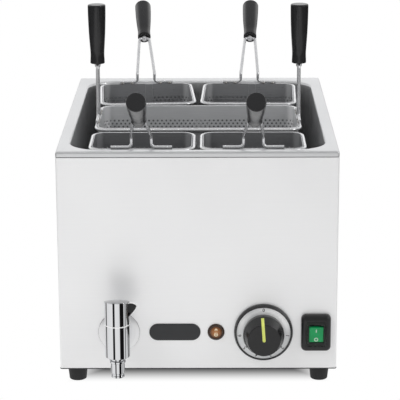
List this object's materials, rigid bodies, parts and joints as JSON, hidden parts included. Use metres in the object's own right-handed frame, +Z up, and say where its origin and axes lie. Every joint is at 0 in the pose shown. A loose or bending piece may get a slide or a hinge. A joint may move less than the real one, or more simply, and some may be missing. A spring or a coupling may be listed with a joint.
{
  "type": "pasta cooker",
  "caption": "Countertop electric pasta cooker: steel cabinet with a water tank, lift-out perforated baskets with wire handles and black grips, drain tap, thermostat dial and switch.",
  "frame": {"origin": "on the table under the middle of the cabinet", "axes": "+Z up, the front with the controls faces -Y, +X towards the switch"},
  "size_m": [0.34, 0.6716, 0.441],
  "materials": {
    "casing_steel": "finely brushed stainless sheet",
    "tank_steel": "satin stainless sheet",
    "base_steel": "plain stainless sheet",
    "foot_rubber": "moulded black rubber",
    "screw_steel": "zinc-plated steel",
    "element_steel": "drawn stainless tube and bar",
    "brass_fittings": "turned brass",
    "probe_copper": "drawn copper",
    "tap_chrome": "polished chrome plate",
    "badge_black": "smooth black plastic, left bare",
    "lamp_bezel_amber": "brown translucent plastic",
    "lamp_lens_amber": "amber translucent plastic",
    "pale_moulding": "pale moulded insulator",
    "dial_ring_black": "smooth black plastic",
    "dial_face_silver": "turned silver face",
    "knob_black": "smooth black plastic",
    "pointer_yellow": "yellow-green inlay",
    "switch_black": "fine-grained black plastic",
    "rocker_green": "smooth green plastic",
    "cover_clear": "clear soft cover",
    "gland_black": "moulded black plastic",
    "basket_steel": "perforated stainless sheet",
    "basket_wire": "bright drawn stainless wire",
    "grip_black": "smooth black heat-proof plastic"
  },
  "bodies": {
    "cabinet": {"body_shell": "casing_steel", "rear_panel": "casing_steel", "basin": "tank_steel", "false_bottom": "tank_steel", "base_plate": "base_steel", "rubber_feet": "foot_rubber", "foot_screws": "screw_steel", "panel_screws": "screw_steel", "heating_element": "element_steel", "drain_elbow": "element_steel", "element_nuts": "brass_fittings", "tap_locknut": "brass_fittings", "thermostat_probe": "probe_copper", "tap_rosette": "tap_chrome", "tap_body": "tap_chrome", "tap_spout": "tap_chrome", "badge_plate": "badge_black", "lamp_bezel": "lamp_bezel_amber", "lamp_lens": "lamp_lens_amber", "lamp_body": "pale_moulding", "thermostat_body": "pale_moulding", "terminal_block": "pale_moulding", "dial_bezel": "dial_ring_black", "dial_face": "dial_face_silver", "switch_frame": "switch_black", "switch_body": "switch_black", "switch_cover": "cover_clear", "cable_gland": "gland_black"},
    "knob": {"control_knob": "knob_black", "knob_pointer": "pointer_yellow", "thermostat_spindle": "element_steel"},
    "rocker": {"switch_rocker": "rocker_green"},
    "tap_lever": {"tap_handle": "tap_chrome", "tap_stem": "brass_fittings"},
    "front_left_basket": {"front_left_basket_wall": "basket_steel", "front_left_basket_floor": "basket_steel", "front_left_basket_rim": "basket_wire", "front_left_basket_handle": "basket_wire", "front_left_basket_grip": "grip_black"},
    "front_right_basket": {"front_right_basket_wall": "basket_steel", "front_right_basket_floor": "basket_steel", "front_right_basket_rim": "basket_wire", "front_right_basket_handle": "basket_wire", "front_right_basket_grip": "grip_black"},
    "middle_basket": {"middle_basket_wall": "basket_steel", "middle_basket_floor": "basket_steel", "middle_basket_rim": "basket_wire", "middle_basket_handles": "basket_wire", "middle_basket_grips": "grip_black"},
    "back_left_basket": {"back_left_basket_wall": "basket_steel", "back_left_basket_floor": "basket_steel", "back_left_basket_rim": "basket_wire", "back_left_basket_handle": "basket_wire", "back_left_basket_grip": "grip_black"},
    "back_right_basket": {"back_right_basket_wall": "basket_steel", "back_right_basket_floor": "basket_steel", "back_right_basket_rim": "basket_wire", "back_right_basket_handle": "basket_wire", "back_right_basket_grip": "grip_black"}
  },
  "joints": [
    {"name": "knob_turn", "type": "hinge", "parent": "cabinet", "child": "knob", "pos_m": [0.0801, -0.228, 0.068], "axis": [0, 1, 0], "range_deg": [0, 270]},
    {"name": "rocker_tip", "type": "hinge", "parent": "cabinet", "child": "rocker", "pos_m": [0.1443, -0.2255, 0.068], "axis": [-1, 0, 0], "range_deg": [0, 16]},
    {"name": "tap_turn", "type": "hinge", "parent": "cabinet", "child": "tap_lever", "pos_m": [-0.09685, -0.262, 0.11], "axis": [0, 0, -1], "range_deg": [0, 90]},
    {"name": "front_left_basket_lift", "type": "slide", "parent": "cabinet", "child": "front_left_basket", "axis": [0, 0, 1], "range_m": [0, 0.17]},
    {"name": "front_right_basket_lift", "type": "slide", "parent": "cabinet", "child": "front_right_basket", "axis": [0, 0, 1], "range_m": [0, 0.17]},
    {"name": "middle_basket_lift", "type": "slide", "parent": "cabinet", "child": "middle_basket", "axis": [0, 0, 1], "range_m": [0, 0.17]},
    {"name": "back_left_basket_lift", "type": "slide", "parent": "cabinet", "child": "back_left_basket", "axis": [0, 0, 1], "range_m": [0, 0.17]},
    {"name": "back_right_basket_lift", "type": "slide", "parent": "cabinet", "child": "back_right_basket", "axis": [0, 0, 1], "range_m": [0, 0.17]}
  ]
}
